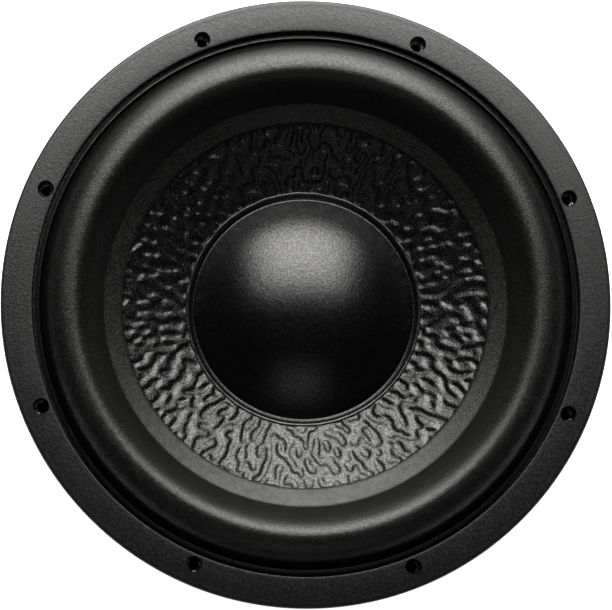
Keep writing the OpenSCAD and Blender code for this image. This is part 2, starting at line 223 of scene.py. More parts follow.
def ring_surface(name, rings, closed, smooth):
    """A surface through rings, an array of rows x columns x 3; the columns close round the axis.
    Its UV map holds metres: U round the axis, V along the rows."""
    rows, columns = rings.shape[:2]
    i = np.arange(rows if closed else rows - 1)
    j = np.arange(columns)
    i, j = [a.ravel() for a in np.meshgrid(i, j, indexing="ij")]
    i2 = (i + 1) % rows
    j2 = (j + 1) % columns
    faces = np.stack([i * columns + j, i * columns + j2, i2 * columns + j2, i2 * columns + j], 1)
    step = np.linalg.norm(np.roll(rings[:, 0], -1, 0) - rings[:, 0], axis=1)
    along = np.concatenate([[0], np.cumsum(step)]) * MM
    around = np.hypot(rings[:, 0, 0], rings[:, 0, 1]).mean() * 2 * math.pi * MM / columns
    uv = np.stack([np.stack([j, j + 1, j + 1, j], 1) * around,
                   np.stack([along[i], along[i], along[i + 1], along[i + 1]], 1)], 2)
    obj = made(name, rings.reshape(-1, 3), faces, smooth, uv)
    if np.hypot(rings[:, :, 0], rings[:, :, 1]).min() < 1e-6:
        with edited(obj) as bm:
            bmesh.ops.remove_doubles(bm, verts=bm.verts, dist=1e-7)
    return obj


@contextmanager
def edited(obj):
    """The object's mesh as a bmesh, written back at the end."""
    bm = bmesh.new()
    bm.from_mesh(obj.data)
    yield bm
    bm.to_mesh(obj.data)
    bm.free()


def spun(outline, segments):
    """The rings that an outline in the (radius, Z) plane makes when it turns about the axis."""
    p = np.array(outline, float)
    a = np.linspace(0, 2 * math.pi, segments, endpoint=False)
    z = np.repeat(p[:, 1:2], segments, 1)
    return np.stack([p[:, :1] * np.cos(a), p[:, :1] * np.sin(a), z], 2)


def lathe(name, outline, segments, smooth=35):
    """A closed outline in the (radius, Z) plane turned about the axis."""
    return ring_surface(name, spun(counter_clockwise(outline), segments), True, smooth)


def rod(name, radius, low, high, segments):
    """A plain round solid on the axis, mostly to cut a hole with."""
    return lathe(name, rectangle(0, radius, low, high), segments)


def tube(name, r_in, r_out, low, high, edge):
    return lathe(name, rounded(rectangle(r_in, r_out, low, high), edge, 3), SEGMENTS)


def prism(name, outline, low, high, matrix=None, edge=0.0, steps=3):
    """A flat outline in the XY plane made solid between two heights, its edges bevelled."""
    outline = counter_clockwise(outline)
    n = len(outline)
    verts = [(x, y, low) for x, y in outline] + [(x, y, high) for x, y in outline]
    faces = [list(range(n))[::-1], list(range(n, 2 * n))]
    faces += [[k, (k + 1) % n, n + (k + 1) % n, n + k] for k in range(n)]
    obj = made(name, verts, faces)
    if matrix is not None:
        place(obj, matrix)
    return bevelled(obj, edge, steps) if edge else obj


def block(name, low, high, edge=0.0):
    return prism(name, rectangle(low[0], high[0], low[1], high[1]), low[2], high[2], None, edge)


def place(obj, matrix):
    """Moves a mesh's own points; the matrix is in millimetres."""
    scaled = matrix.copy()
    scaled.translation = scaled.translation * MM
    obj.data.transform(scaled)
    obj.data.update()
    return obj


def applied(obj):
    """Turns an object's modifiers into its mesh."""
    bpy.context.view_layer.update()
    evaluated = obj.evaluated_get(bpy.context.evaluated_depsgraph_get())
    old = obj.data
    obj.data = bpy.data.meshes.new_from_object(evaluated)
    obj.modifiers.clear()
    bpy.data.meshes.remove(old)
    return obj


def bevelled(obj, width, steps):
    m = obj.modifiers.new("edge", "BEVEL")
    m.width = width * MM
    m.segments = steps
    m.limit_method = "ANGLE"
    m.angle_limit = math.radians(30)
    m.use_clamp_overlap = True
    return shade(applied(obj), 40)


def joined(objects, name):
    """One object that holds the meshes of several."""
    first, *others = objects
    with edited(first) as bm:
        for other in others:
            bm.from_mesh(other.data)
            bpy.data.objects.remove(other)
    first.name = name
    return first


def combined(obj, others, operation):
    """Unites obj with the others, or cuts them out of it, and removes them."""
    group = bpy.data.collections.new("tools")
    bpy.context.scene.collection.children.link(group)
    for other in others:
        bpy.context.scene.collection.objects.unlink(other)
        group.objects.link(other)
    m = obj.modifiers.new("combine", "BOOLEAN")
    m.operation = operation
    m.operand_type = "COLLECTION"
    m.collection = group
    m.solver = "EXACT"
    applied(obj)
    for other in others:
        bpy.data.objects.remove(other)
    bpy.data.collections.remove(group)
    return shade(obj)


def turned(degrees, axis="Z"):
    return Matrix.Rotation(math.radians(degrees), 4, axis)


def moved(x, y=0.0, z=0.0):
    return Matrix.Translation((x, y, z))


def copies(build, count, offset=0.0):
    """Several of one shape, spread round the axis."""
    return [place(build(), turned(offset + 360 / count * i)) for i in range(count)]


def swept(name, path, radius, sides, relief=None):
    """A round tube along points, with closed ends. relief(turn, along) scales its radius."""
    p = np.array(path, float)
    step = np.linalg.norm(np.diff(p, axis=0), axis=1)
    along = np.concatenate([[0], np.cumsum(step)])
    tangents = np.gradient(p, axis=0)
    tangents /= np.linalg.norm(tangents, axis=1)[:, None]
    side = np.cross(tangents[0], [0.3, 0.2, 1.0])
    turn = np.arange(sides) * 2 * math.pi / sides
    rings = []
    for point, t, s in zip(p, tangents, along):
        side = side - t * side.dot(t)
        side /= np.linalg.norm(side)
        up = np.cross(t, side)
        r = radius * (relief(turn, s) if relief else np.ones(sides))
        rings.append(point + r[:, None] * (np.outer(np.cos(turn), side) + np.outer(np.sin(turn), up)))
    obj = ring_surface(name, np.array(rings), False, 60)
    with edited(obj) as bm:
        bmesh.ops.holes_fill(bm, edges=[e for e in bm.edges if e.is_boundary], sides=0)
        bmesh.ops.recalc_face_normals(bm, faces=bm.faces)
    return obj


def spline(points, spacing):
    """Points about spacing apart on a smooth curve through the given ones."""
    p = np.array(points, float)
    p = np.vstack([2 * p[0] - p[1], p, 2 * p[-1] - p[-2]])
    out = []
    for a, b, c, d in zip(p, p[1:], p[2:], p[3:]):
        count = max(2, int(np.linalg.norm(c - b) / spacing))
        for t in np.arange(count) / count:
            out.append(0.5 * (2 * b + (c - a) * t + (2 * a - 5 * b + 4 * c - d) * t ** 2
                              + (3 * b - a - 3 * c + d) * t ** 3))
    return np.vstack([out, p[-2]])


def paint(obj, *names):
    obj.data.materials.clear()
    for name in names:
        obj.data.materials.append(material(name))


def dress(obj, slot, body, *replaced):
    """Attaches a finished piece to its body, hides the CAD nodes it stands for, and gives it the slot's
    material unless it is painted already."""
    if not any(obj.data.materials):
        paint(obj, slot)
    if body:
        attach(obj, body)
    if replaced:
        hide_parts(*replaced)


# ---- Materials ----


class Finish:
    """A Principled material whose colour, roughness and bump come from nodes. Sizes are in millimetres."""

    def __init__(self, name, color, roughness, **values):
        self.material = bpy.data.materials.new(name)
        self.material.use_nodes = True
        self.tree = self.material.node_tree
        self.shader = self.tree.nodes["Principled BSDF"]
        self.coordinates = self.node("ShaderNodeTexCoord").outputs["Object"]
        self.color = (*color, 1)
        self.normal = None
        self.shader.inputs["Base Color"].default_value = self.color
        self.shader.inputs["Roughness"].default_value = roughness
        for socket, value in values.items():
            self.shader.inputs[socket.replace("_", " ")].default_value = value

    def node(self, kind, **settings):
        made_node = self.tree.nodes.new(kind)
        for key, value in settings.items():
            setattr(made_node, key, value)
        return made_node

    def link(self, source, target):
        self.tree.links.new(source, target)

    def strip(self):
        """Takes the coordinates from the piece's UV map, in metres round and along it."""
        self.coordinates = self.node("ShaderNodeUVMap", uv_map="Strip").outputs["UV"]

    def noise(self, size, detail, roughness=0.55):
        n = self.node("ShaderNodeTexNoise")
        n.inputs["Scale"].default_value = 1 / (size * MM)
        n.inputs["Detail"].default_value = detail
        n.inputs["Roughness"].default_value = roughness
        self.link(self.coordinates, n.inputs["Vector"])
        return n.outputs[0]

    def cells(self, size):
        n = self.node("ShaderNodeTexVoronoi")
        n.inputs["Scale"].default_value = 1 / (size * MM)
        self.link(self.coordinates, n.inputs["Vector"])
        return n.outputs["Distance"]

    def lines(self, size, direction, kind="BANDS", distortion=0.0, at=None):
        n = self.node("ShaderNodeTexWave", wave_type=kind)
        setattr(n, "bands_direction" if kind == "BANDS" else "rings_direction", direction)
        n.inputs["Scale"].default_value = 0.314 / (size * MM)
        n.inputs["Distortion"].default_value = distortion
        self.link(at or self.coordinates, n.inputs["Vector"])
        return n.outputs[0]

    def math(self, operation, a, b):
        n = self.node("ShaderNodeMath", operation=operation)
        for value, socket in zip((a, b), n.inputs):
            if isinstance(value, float):
                socket.default_value = value
            else:
                self.link(value, socket)
        return n.outputs[0]

    def mapped(self, source, low, high, to_low=0.0, to_high=1.0):
        n = self.node("ShaderNodeMapRange")
        self.link(source, n.inputs["Value"])
        for socket, value in zip(("From Min", "From Max", "To Min", "To Max"), (low, high, to_low, to_high)):
            n.inputs[socket].default_value = value
        return n.outputs["Result"]

    def worn(self, low, high):
        """1 on the convex edges of the piece, where a coat wears through, and 0 elsewhere."""
        pointed = self.mapped(self.node("ShaderNodeNewGeometry").outputs["Pointiness"], low, high)
        return self.math("MULTIPLY", pointed, self.mapped(self.noise(3.0, 5), 0.45, 0.62))

    def tint(self, share, color):
        """Mixes another colour in where share is 1."""
        n = self.node("ShaderNodeMix", data_type="RGBA")
        target = self.shader.inputs["Base Color"]
        if target.links:
            self.link(target.links[0].from_socket, n.inputs[6])
        else:
            n.inputs[6].default_value = self.color
        n.inputs[7].default_value = (*color, 1)
        self.link(share, n.inputs[0])
        self.link(n.outputs[2], target)

    def patches(self, size, detail, low, high, color):
        """Tints the patches of a size where the noise is above low, fully from high on."""
        self.tint(self.mapped(self.noise(size, detail), low, high), color)

    def drive(self, socket, source):
        self.link(source, self.shader.inputs[socket])

    def uneven(self, size, detail, low, high, socket="Roughness"):
        """An input that wanders between two values, in spots of a size."""
        self.drive(socket, self.mapped(self.noise(size, detail), 0.3, 0.7, low, high))

    def bump(self, source, depth, strength=1.0):
        n = self.node("ShaderNodeBump")
        n.inputs["Distance"].default_value = depth * MM
        n.inputs["Strength"].default_value = strength
        self.link(source, n.inputs["Height"])
        if self.normal:
            self.link(self.normal, n.inputs["Normal"])
        self.normal = n.outputs["Normal"]
        self.link(self.normal, self.shader.inputs["Normal"])

    def grain(self, size, detail, depth, strength=1.0):
        self.bump(self.noise(size, detail), depth, strength)


SHINE = "Specular IOR Level"
RECIPES = {}
MADE = {}


def recipe(color, roughness, **values):
    """Keeps how a material is made, under its function's name, until a piece asks for it."""
    def keep(build):
        RECIPES[build.__name__] = (build, color, roughness, values)
        return build
    return keep


def material(name):
    if name not in MADE:
        build, color, roughness, values = RECIPES[name]
        finish = Finish(name, color, roughness, **values)
        build(finish)
        MADE[name] = finish.material
    return MADE[name]


@recipe((0.0016, 0.0016, 0.0017), 0.38)
def gasket_rubber(f):
    f.patches(14, 4, 0.40, 0.72, (0.0026, 0.0026, 0.0027))
    f.patches(1.1, 2, 0.52, 0.66, (0.0075, 0.0075, 0.0077))
    f.uneven(1.6, 5, 0.30, 0.41)
    f.uneven(1.1, 3, 0.38, 0.56, SHINE)
    f.bump(f.noise(1.1, 3, 0.75), 0.14)


@recipe((0.0012, 0.0012, 0.0011), 0.38)
def surround_foam(f):
    f.patches(9, 4, 0.42, 0.72, (0.0022, 0.0021, 0.0020))
    f.patches(1.2, 2, 0.78, 0.80, (0.08, 0.08, 0.075))
    f.uneven(1.8, 5, 0.30, 0.42)
    f.uneven(1.1, 3, 0.30, 0.60, SHINE)
    f.patches(1.0, 2, 0.52, 0.66, (0.0070, 0.0068, 0.0064))
    f.bump(f.noise(1.3, 4, 0.75), 0.17)
    f.grain(3.6, 4, 0.10, 0.6)


@recipe((0.0022, 0.0022, 0.0021), 0.40)
def lip_foam(f):
    """The lip has a duller, rubbed face, with fine mottling and faint scuffs."""
    f.patches(4.5, 5, 0.42, 0.68, (0.0045, 0.0044, 0.0042))
    f.patches(1.0, 2, 0.52, 0.64, (0.013, 0.013, 0.0126))
    f.drive("Roughness", f.mapped(f.noise(1.6, 5, 0.7), 0.35, 0.65, 0.31, 0.45))
    f.drive(SHINE, f.mapped(f.noise(3.2, 6, 0.75), 0.35, 0.65, 0.32, 0.56))
    f.bump(f.noise(1.3, 4, 0.75), 0.22)
    f.grain(4.2, 4, 0.12, 0.6)


@recipe((0.0008, 0.0008, 0.0008), 0.32)
def cone_paper(f):
    f.patches(1.0, 3, 0.53, 0.62, (0.0070, 0.0070, 0.0068))
    f.drive("Roughness", f.mapped(f.noise(1.0, 3), 0.38, 0.62, 0.17, 0.32))
    f.drive(SHINE, f.mapped(f.noise(1.1, 3), 0.35, 0.65, 0.45, 0.95))
    f.bump(f.noise(1.5, 4, 0.8), 0.32)
    f.bump(f.cells(1.8), 0.10, 0.7)


@recipe((0.0006, 0.0006, 0.0007), 0.28)
def cap_shell(f):
    f.patches(0.7, 2, 0.55, 0.75, (0.0014, 0.0014, 0.0015))
    f.uneven(1.1, 3, 0.20, 0.30)
    f.drive(SHINE, f.mapped(f.noise(1.0, 3), 0.35, 0.65, 0.30, 0.66))
    f.bump(f.noise(1.2, 3, 0.7), 0.13)


@recipe((0.005, 0.005, 0.005), 0.22)
def adhesive(f):
    f.patches(2.0, 3, 0.5, 0.7, (0.010, 0.010, 0.010))
    f.uneven(1.5, 3, 0.14, 0.34)
    f.grain(1.8, 3, 0.15)


@recipe((0.010, 0.010, 0.0105), 0.42)
def basket_coating(f):
    f.patches(20, 4, 0.4, 0.7, (0.014, 0.014, 0.0145))
    worn = f.worn(0.54, 0.62)
    f.tint(worn, (0.16, 0.155, 0.15))
    f.drive("Metallic", f.mapped(worn, 0.3, 1.0, 0.0, 0.8))
    f.uneven(4, 4, 0.36, 0.50)
    f.grain(1.1, 2, 0.05)
    f.bump(f.cells(3.0), 0.04, 0.5)


@recipe((0.80, 0.79, 0.77), 0.42, Metallic=1.0)
def bare_edge(f):
    """The mouths of the bolt holes, where the bolts have rubbed through the coat."""
    f.patches(1.6, 4, 0.42, 0.58, (0.03, 0.03, 0.03))
    f.uneven(1.2, 3, 0.22, 0.5)
    f.bump(f.lines(0.8, "Z", distortion=1.5), 0.12)


@recipe((0.045, 0.045, 0.048), 0.36, Metallic=0.85)
def black_screw(f):
    f.tint(f.worn(0.53, 0.60), (0.35, 0.34, 0.33))
    f.patches(2.5, 4, 0.45, 0.7, (0.065, 0.062, 0.060))
    f.uneven(1.5, 4, 0.28, 0.48)
    f.grain(0.5, 2, 0.03)


@recipe((0.42, 0.27, 0.075), 0.72, Sheen_Weight=0.25, Sheen_Roughness=0.5)
def spider_cloth(f):
    """Resin-stiffened woven cotton: the weave runs straight across the disc."""
    warp = f.lines(0.85, "X")
    weft = f.lines(0.85, "Y")
    weave = f.math("MAXIMUM", f.math("POWER", warp, 2.0), f.math("POWER", weft, 2.0))
    f.tint(f.mapped(weave, 0.55, 0.05), (0.17, 0.095, 0.022))
    f.patches(18, 4, 0.42, 0.72, (0.50, 0.34, 0.11))
    f.uneven(2.5, 3, 0.6, 0.8)
    f.bump(weave, 0.22)
    f.grain(0.7, 3, 0.08)


@recipe((0.62, 0.60, 0.55), 0.30, Metallic=1.0)
def former_foil(f):
    f.patches(7, 4, 0.45, 0.7, (0.50, 0.45, 0.36))
    f.uneven(2.5, 4, 0.24, 0.42)
    f.bump(f.lines(0.5, "Z", distortion=0.4), 0.02)


@recipe((0.40, 0.29, 0.16), 0.78)
def collar_paper(f):
    f.patches(4, 5, 0.42, 0.7, (0.30, 0.20, 0.10))
    f.uneven(1.5, 3, 0.68, 0.86)
    f.grain(0.6, 4, 0.06)


@recipe((0.52, 0.20, 0.055), 0.28, Metallic=0.9, Coat_Weight=0.6, Coat_Roughness=0.12)
def winding(f):
    f.patches(5, 4, 0.45, 0.7, (0.36, 0.12, 0.035))
    f.uneven(1.4, 3, 0.22, 0.40)
    f.grain(0.8, 3, 0.03)


@recipe((0.060, 0.061, 0.066), 0.34, Metallic=0.9)
def plate_steel(f):
    """Black zinc on turned steel: fine rings from the lathe show through it."""
    f.tint(f.worn(0.53, 0.60), (0.34, 0.33, 0.32))
    f.patches(16, 5, 0.45, 0.72, (0.085, 0.078, 0.072))
    f.uneven(5, 4, 0.26, 0.46)
    f.bump(f.lines(0.55, "Z", "RINGS", 0.2), 0.03)
    f.grain(0.6, 2, 0.02)


@recipe((0.040, 0.040, 0.043), 0.58)
def ferrite(f):
    f.patches(6, 5, 0.45, 0.7, (0.060, 0.059, 0.060))
    f.uneven(2, 4, 0.5, 0.7)
    f.grain(1.3, 5, 0.10)


@recipe((0.20, 0.20, 0.21), 0.38, Metallic=1.0)
def screen_mesh(f):
    f.patches(3, 4, 0.45, 0.7, (0.12, 0.12, 0.125))
    f.uneven(1.2, 3, 0.3, 0.5)
    f.grain(0.4, 2, 0.02)


@recipe((0.009, 0.009, 0.0093), 0.50)
def boot_rubber(f):
    f.patches(22, 4, 0.42, 0.72, (0.014, 0.014, 0.014))
    f.patches(1.0, 2, 0.76, 0.80, (0.09, 0.09, 0.088))
    f.uneven(6, 5, 0.42, 0.62)
    f.grain(0.7, 3, 0.04)
    f.grain(11, 3, 0.12, 0.5)


@recipe((0.020, 0.020, 0.021), 0.38)
def terminal_plastic(f):
    f.patches(8, 4, 0.45, 0.72, (0.028, 0.028, 0.029))
    f.uneven(2.2, 4, 0.32, 0.48)
    f.bump(f.cells(0.5), 0.03)


def button_plastic(f, light):
    f.patches(4, 4, 0.45, 0.72, light)
    f.uneven(1.6, 4, 0.26, 0.42)
    f.grain(0.5, 2, 0.02)


@recipe((0.42, 0.012, 0.010), 0.30, Coat_Weight=0.3, Coat_Roughness=0.15)
def button_red(f):
    button_plastic(f, (0.50, 0.022, 0.016))


@recipe((0.018, 0.018, 0.019), 0.30, Coat_Weight=0.3, Coat_Roughness=0.15)
def button_black(f):
    button_plastic(f, (0.028, 0.028, 0.028))


@recipe((0.83, 0.62, 0.27), 0.22, Metallic=1.0)
def contact_metal(f):
    f.patches(2.2, 4, 0.48, 0.72, (0.68, 0.47, 0.19))
    f.uneven(1.0, 3, 0.16, 0.34)
    f.grain(0.5, 3, 0.015)


@recipe((0.55, 0.55, 0.54), 0.30, Metallic=1.0)
def solder(f):
    f.patches(1.4, 4, 0.45, 0.7, (0.34, 0.34, 0.34))
    f.uneven(0.8, 3, 0.2, 0.45)
    f.grain(0.7, 3, 0.05)


@recipe((0.58, 0.58, 0.60), 0.24, Metallic=1.0)
def spring_steel(f):
    f.patches(1.5, 3, 0.5, 0.7, (0.40, 0.40, 0.42))
    f.uneven(0.8, 3, 0.2, 0.36)
    f.grain(0.3, 2, 0.01)


@recipe((0.50, 0.50, 0.52), 0.32, Metallic=1.0)
def zinc_screw(f):
    f.patches(2.0, 4, 0.45, 0.7, (0.36, 0.36, 0.37))
    f.uneven(0.9, 3, 0.25, 0.45)
    f.bump(f.lines(0.3, "Z", "RINGS", 0.3), 0.01)


@recipe((0.62, 0.56, 0.47), 0.34, Metallic=1.0)
def tinsel_braid(f):
    """Silvered copper strands: fine crossing lines along the lead."""
    f.strip()
    f.patches(1.2, 4, 0.45, 0.7, (0.46, 0.33, 0.20))
    f.uneven(0.6, 3, 0.28, 0.5)
    turned_strip = f.node("ShaderNodeMapping")
    turned_strip.inputs["Rotation"].default_value = (0, 0, 0.6)
    f.link(f.coordinates, turned_strip.inputs["Vector"])
    f.bump(f.lines(0.22, "X", at=turned_strip.outputs["Vector"]), 0.03)


# ---- Front: gasket, surround, cone, dust cap ----


def make_gasket():
    """The gasket is a little crowned across, rounded over outside and folds down round the flange's rim."""
    edge = 1.6
    fold = 1.2
    gap = 0.05
    seat = SURROUND.outer + gap
    top = GASKET.high
    crown = [(r, top - 0.5 * ((r - GASKET.inner - 5.0) / 11.0) ** 2)
             for r in np.linspace(GASKET.inner + 1.2, GASKET.outer - 2.6, 9)]
    shoulder = arc((GASKET.outer - edge, crown[-1][1] - edge + 0.1), edge, edge, 75, 0, 8)
    foot = [(GASKET.outer, GASKET.low), (GASKET.outer - fold, GASKET.low)]
    under = [(GASKET.outer - fold, FLANGE_T), (seat, FLANGE_T), (seat, FOAM_Z + gap),
             (GASKET.inner, FOAM_Z + gap)]
    inner = arc((GASKET.inner + 0.3, top - 0.42), 0.3, 0.3, 180, 100, 6)
    gasket = lathe("gasket", inner + crown + shoulder + foot + under, SEGMENTS)
    hole = [(0.0, -1.0), (GASKET_HOLE_R, -1.0), (GASKET_HOLE_R, top - 1.0), (GASKET_HOLE_R + 0.15, top - 0.5),
            (GASKET_HOLE_R + 0.6, top + 0.1), (GASKET_HOLE_R + 0.6, top + 3), (0.0, top + 3)]
    cutters = copies(lambda: place(lathe("hole", hole, 40), moved(BOLT_R)), BOLT_COUNT, 180 / BOLT_COUNT)
    combined(gasket, cutters, "DIFFERENCE")
    dress(gasket, "gasket_rubber", "frame", "mounting_gasket")


def make_surround():
    """One foam moulding: flange, narrow ring, roll and lip."""
    foot = 1.2
    inner, outer = RING_R - RING_HALF_W, RING_R + RING_HALF_W
    top = FOAM_Z + RING_H
    ring = [(outer, FOAM_Z), (outer, top - RING_FALL), (inner, top), (inner, FOAM_Z + 1)]
    ring = rounded(ring, [0, 3 * RING_EDGE, RING_EDGE, 0], 4)
    roll = arc((ROLL_R, FOAM_Z), ROLL_HALF_W, ROLL_H, 2, 90, 50)
    fall = ROLL_H + FOAM_Z - lip_front(ROLL_INNER)
    roll += [(ROLL_R - ROLL_HALF_W * t, SURROUND.high - fall * t * t) for t in np.linspace(0.03, 0.985, 46)]
    radii = [ROLL_INNER - foot * 0.35, ROLL_INNER - foot]
    radii += list(np.linspace(ROLL_INNER - 2 * foot, SURROUND.inner + 0.5, 8))
    lip = [(r, lip_front(r)) for r in radii]
    edge = lip_front(SURROUND.inner)
    lip += [(SURROUND.inner + 0.12, edge - 0.25), (SURROUND.inner, edge - 0.6)]
    back = [(SURROUND.inner, edge - LIP_T), (ROLL_INNER + FOAM_T, lip_front(ROLL_INNER + FOAM_T) - LIP_T)]
    back += [p for p in inset(roll[::-1], FOAM_T)[::2] if p[0] > ROLL_INNER + FOAM_T and p[1] > FLANGE_T + 1]
    back += [(ROLL_OUTER - FOAM_T, FLANGE_T), (SURROUND.outer, FLANGE_T)]
    surround = lathe("surround_roll", [(SURROUND.outer, FOAM_Z)] + ring + roll + lip + back, SEGMENTS, 50)
    paint(surround, "surround_foam", "lip_foam")
    for face in surround.data.polygons:
        if math.hypot(face.center.x, face.center.y) < (ROLL_INNER - 0.4) * MM:
            face.material_index = 1
    dress(surround, "surround_foam", None, "surround")
    follow_cone(surround)


def follow_cone(obj):
    """Bakes the piece's placement into its mesh."""
    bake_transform(obj)


# The crumpled band of the cone, between the dust cap and the lip.
CRUMPLE_INNER = 62.0
CRUMPLE_OUTER = 97.0
RIDGE_PITCH = 6.2        # from one ridge to the next, round the cone
RIDGE_STRETCH = 1.55     # how much longer than wide the ridges tend to be
RIDGE_HEIGHT = 0.78
RIDGE_CREST = 0.85       # the share of the height that lies level with the CAD's plain cone
CRUMPLE_SEED = 11


def smoothstep(low, high, value):
    t = np.clip((value - low) / (high - low), 0, 1)
    return t * t * (3 - 2 * t)


def crumple(radii, columns):
    """Height of the crumpled paper, as a share: about 0 in the narrow grooves, RIDGE_CREST between them.
    Noise is sharpened over and over, until it has grown into even ridges that wander, branch and end."""
    waves = np.arange(columns // 2 + 1)[None, :] / radii[:, None]
    gaps = radii[:, None] - radii[None, :]

    def blurred(field, around, along):
        rows = np.exp(-0.5 * (gaps / along) ** 2)
        rows /= rows.sum(1, keepdims=True)
        spectrum = np.fft.rfft(rows @ field, axis=1) * np.exp(-0.5 * (waves * around) ** 2)
        return np.fft.irfft(spectrum, columns, axis=1)

    near = 0.153 * RIDGE_PITCH
    far = 2 * near
    rng = np.random.default_rng(CRUMPLE_SEED)
    start = blurred(rng.normal(size=(len(radii), columns)), near, near)
    start /= start.std()
    field = start
    for _ in range(6):
        sharp = blurred(field, near, near * RIDGE_STRETCH) - blurred(field, far, far * RIDGE_STRETCH * 0.84)
        field = np.tanh(2.2 * sharp / sharp.std() + 0.8 * start + 0.3)
    uneven = blurred(rng.normal(size=field.shape), 3.0, 3.0)
    grooves = 0.5 - 0.5 * blurred(field, 0.5, 0.6)
    lobes = blurred(field, 1.3, 1.7)
    return (RIDGE_CREST - grooves + 0.16 * lobes) * (1 + 0.2 * np.tanh(uneven / uneven.std()))


def make_cone():
    """Crumpled on the front between the dust cap and the lip, plain on the back."""
    columns = 1200
    band = np.linspace(CRUMPLE_INNER, CRUMPLE_OUTER, 72)
    height = crumple(band, columns)
    fade = smoothstep(CRUMPLE_INNER, CRUMPLE_INNER + 2.2, band)
    fade = fade * smoothstep(CRUMPLE_OUTER, CRUMPLE_OUTER - 1.6, band)
    lift = (height * RIDGE_HEIGHT - RIDGE_CREST * RIDGE_HEIGHT) * fade[:, None]
    outside = [CONE.outer, 103.0, 98.0]
    inside = [60.5, 52.0, 44.0, CONE.inner]
    radii = np.concatenate([outside, band[::-1], inside])
    rise = np.concatenate([np.zeros((len(outside), columns)), lift[::-1], np.zeros((len(inside), columns))])
    front = spun([(r, cone_front(r)) for r in radii], columns)
    front[:, :, 2] += rise * math.cos(CONE_ANGLE)
    inward = -rise * math.sin(CONE_ANGLE)
    turn = np.linspace(0, 2 * math.pi, columns, endpoint=False)
    front[:, :, 0] += inward * np.cos(turn)
    front[:, :, 1] += inward * np.sin(turn)
    back_radii = (CONE.inner, 48.0, 62.0, 80.0, 96.0, CONE.outer)
    back = spun([(r, cone_front(r) - PAPER_DROP) for r in back_radii], columns)
    cone = ring_surface("cone_body", np.concatenate([front, back]), True, 60)
    dress(cone, "cone_paper", "cone_assembly", "cone")


def make_dust_cap():
    seat = cone_front(CAP_R) + CAP_T + 0.05
    sphere = (CAP_R ** 2 + CAP_RISE ** 2) / (2 * CAP_RISE)
    centre = (0.0, seat + CAP_RISE - sphere)
    half = math.degrees(math.asin(CAP_R / sphere))
    dome = arc(centre, sphere, sphere, 90, 90 - half, 60)
    skirt = CAP.outer
    paper = cone_front(skirt)
    rim = [(CAP_R + 0.35, dome[-1][1] + 0.02), (skirt - 0.4, paper + CAP_T + 0.05),
           (skirt, paper + CAP_T - 0.3), (skirt, paper + 0.05), (CAP_R, cone_front(CAP_R) + 0.05)]
    inside = arc(centre, sphere - CAP_T, sphere - CAP_T, 90 - half, 90, 40)
    cap = lathe("dust_cap_dome", dome + rim + inside, SEGMENTS, 50)
    dress(cap, "cap_shell", "cone_assembly", "dust_cap")


def make_glue_bead():
    """The bead was laid by hand, so its width and height wander."""
    turn = np.linspace(0, 2 * math.pi, SEGMENTS, endpoint=False)
    wander = sum(np.sin(turn * n + n * n) / 4 for n in (9, 17, 28, 41))
    start = CAP.outer + 0.06
    width = (BEAD.outer - start) * (0.86 + 0.14 * wander)
    rings = []
    for share, lift in ((0, 0.05), (0, 0.95), (0.2, 1.15), (0.45, 1.05), (0.7, 0.8), (0.9, 0.4), (1.0, 0.05)):
        r = start + width * share
        z = cone_front(r) + lift * (0.9 + 0.1 * wander)
        rings.append(np.stack([r * np.cos(turn), r * np.sin(turn), z], 1))
    bead = ring_surface("glue_bead", np.array(rings)[::-1], True, 60)
    dress(bead, "adhesive", "cone_assembly", "dust_cap_glue_bead")


# ---- Suspension and coil behind the cone ----


def make_spider():
    """Corrugated cloth between the basket's shelf and the coil's collar, turned up at the collar."""
    cloth = 0.9
    middle = SHELF_Z + cloth
    waves = 5
    height = 3.2
    inner = COLLAR.outer + 4
    outer = SHELF_INNER - 2
    wave = [(r, middle + height * math.sin((r - inner) / (outer - inner) * 2 * math.pi * waves))
            for r in np.linspace(inner, outer, waves * 24 + 1)]
    wave += [(SHELF_INNER - 1, middle), (SPIDER.outer, middle)]
    neck = SPIDER.inner
    top = [(neck + cloth, middle + 5), (neck + cloth, middle + 1.2), (neck + cloth + 1.0, middle)] + wave
    low = [(r, z - cloth) for r, z in wave[::-1] + [(neck + 1.2, middle)]]
    low += [(neck, middle + 0.4), (neck, middle + 5)]
    spider = lathe("spider_disc", top + low, SEGMENTS, 60)
    dress(spider, "spider_cloth", None, "spider")
    follow_cone(spider)


def make_coil():
    """Former, collar and two windings, each turn of wire a ring of its own."""
    dress(tube("coil_former", *FORMER, 0.12), "former_foil", "cone_assembly", "voice_coil_former")
    dress(tube("coil_collar", *COLLAR, 0.12), "collar_paper", "cone_assembly", "former_collar")
    for name in ("inner", "outer"):
        size = extent(f"voice_coil_{name}")
        wire = (size.outer - size.inner) / 2
        turns = round((size.high - size.low) / (2 * wire))
        pitch = (size.high - size.low) / turns
        outline = [(size.inner, size.high), (size.inner, size.low)]
        for i in range(turns):
            outline += arc((size.outer - wire, size.low + (i + 0.5) * pitch), wire, pitch / 2, -80, 80, 6)
        coil = lathe(f"winding_{name}", outline, SEGMENTS // 2, 30)
        dress(coil, "winding", "cone_assembly", f"voice_coil_{name}")


def make_neck_glue():
    """Fillets of adhesive where the cone and the spider meet the coil's collar."""
    r = COLLAR.outer + 0.06
    for name, z, profile in (
            ("neck", cone_front(r) - PAPER_DROP - 0.06, [(0, 0), (0, -3.6), (1.0, -2.2), (2.4, 1.2)]),
            ("spider", SHELF_Z + 6.1, [(0, 0), (0, 1.9), (0.7, 1.2), (1.3, 0)])):
        fillet = lathe(f"{name}_fillet", [(r + out, z + up) for out, up in profile], SEGMENTS // 2)
        dress(fillet, "adhesive", "cone_assembly")


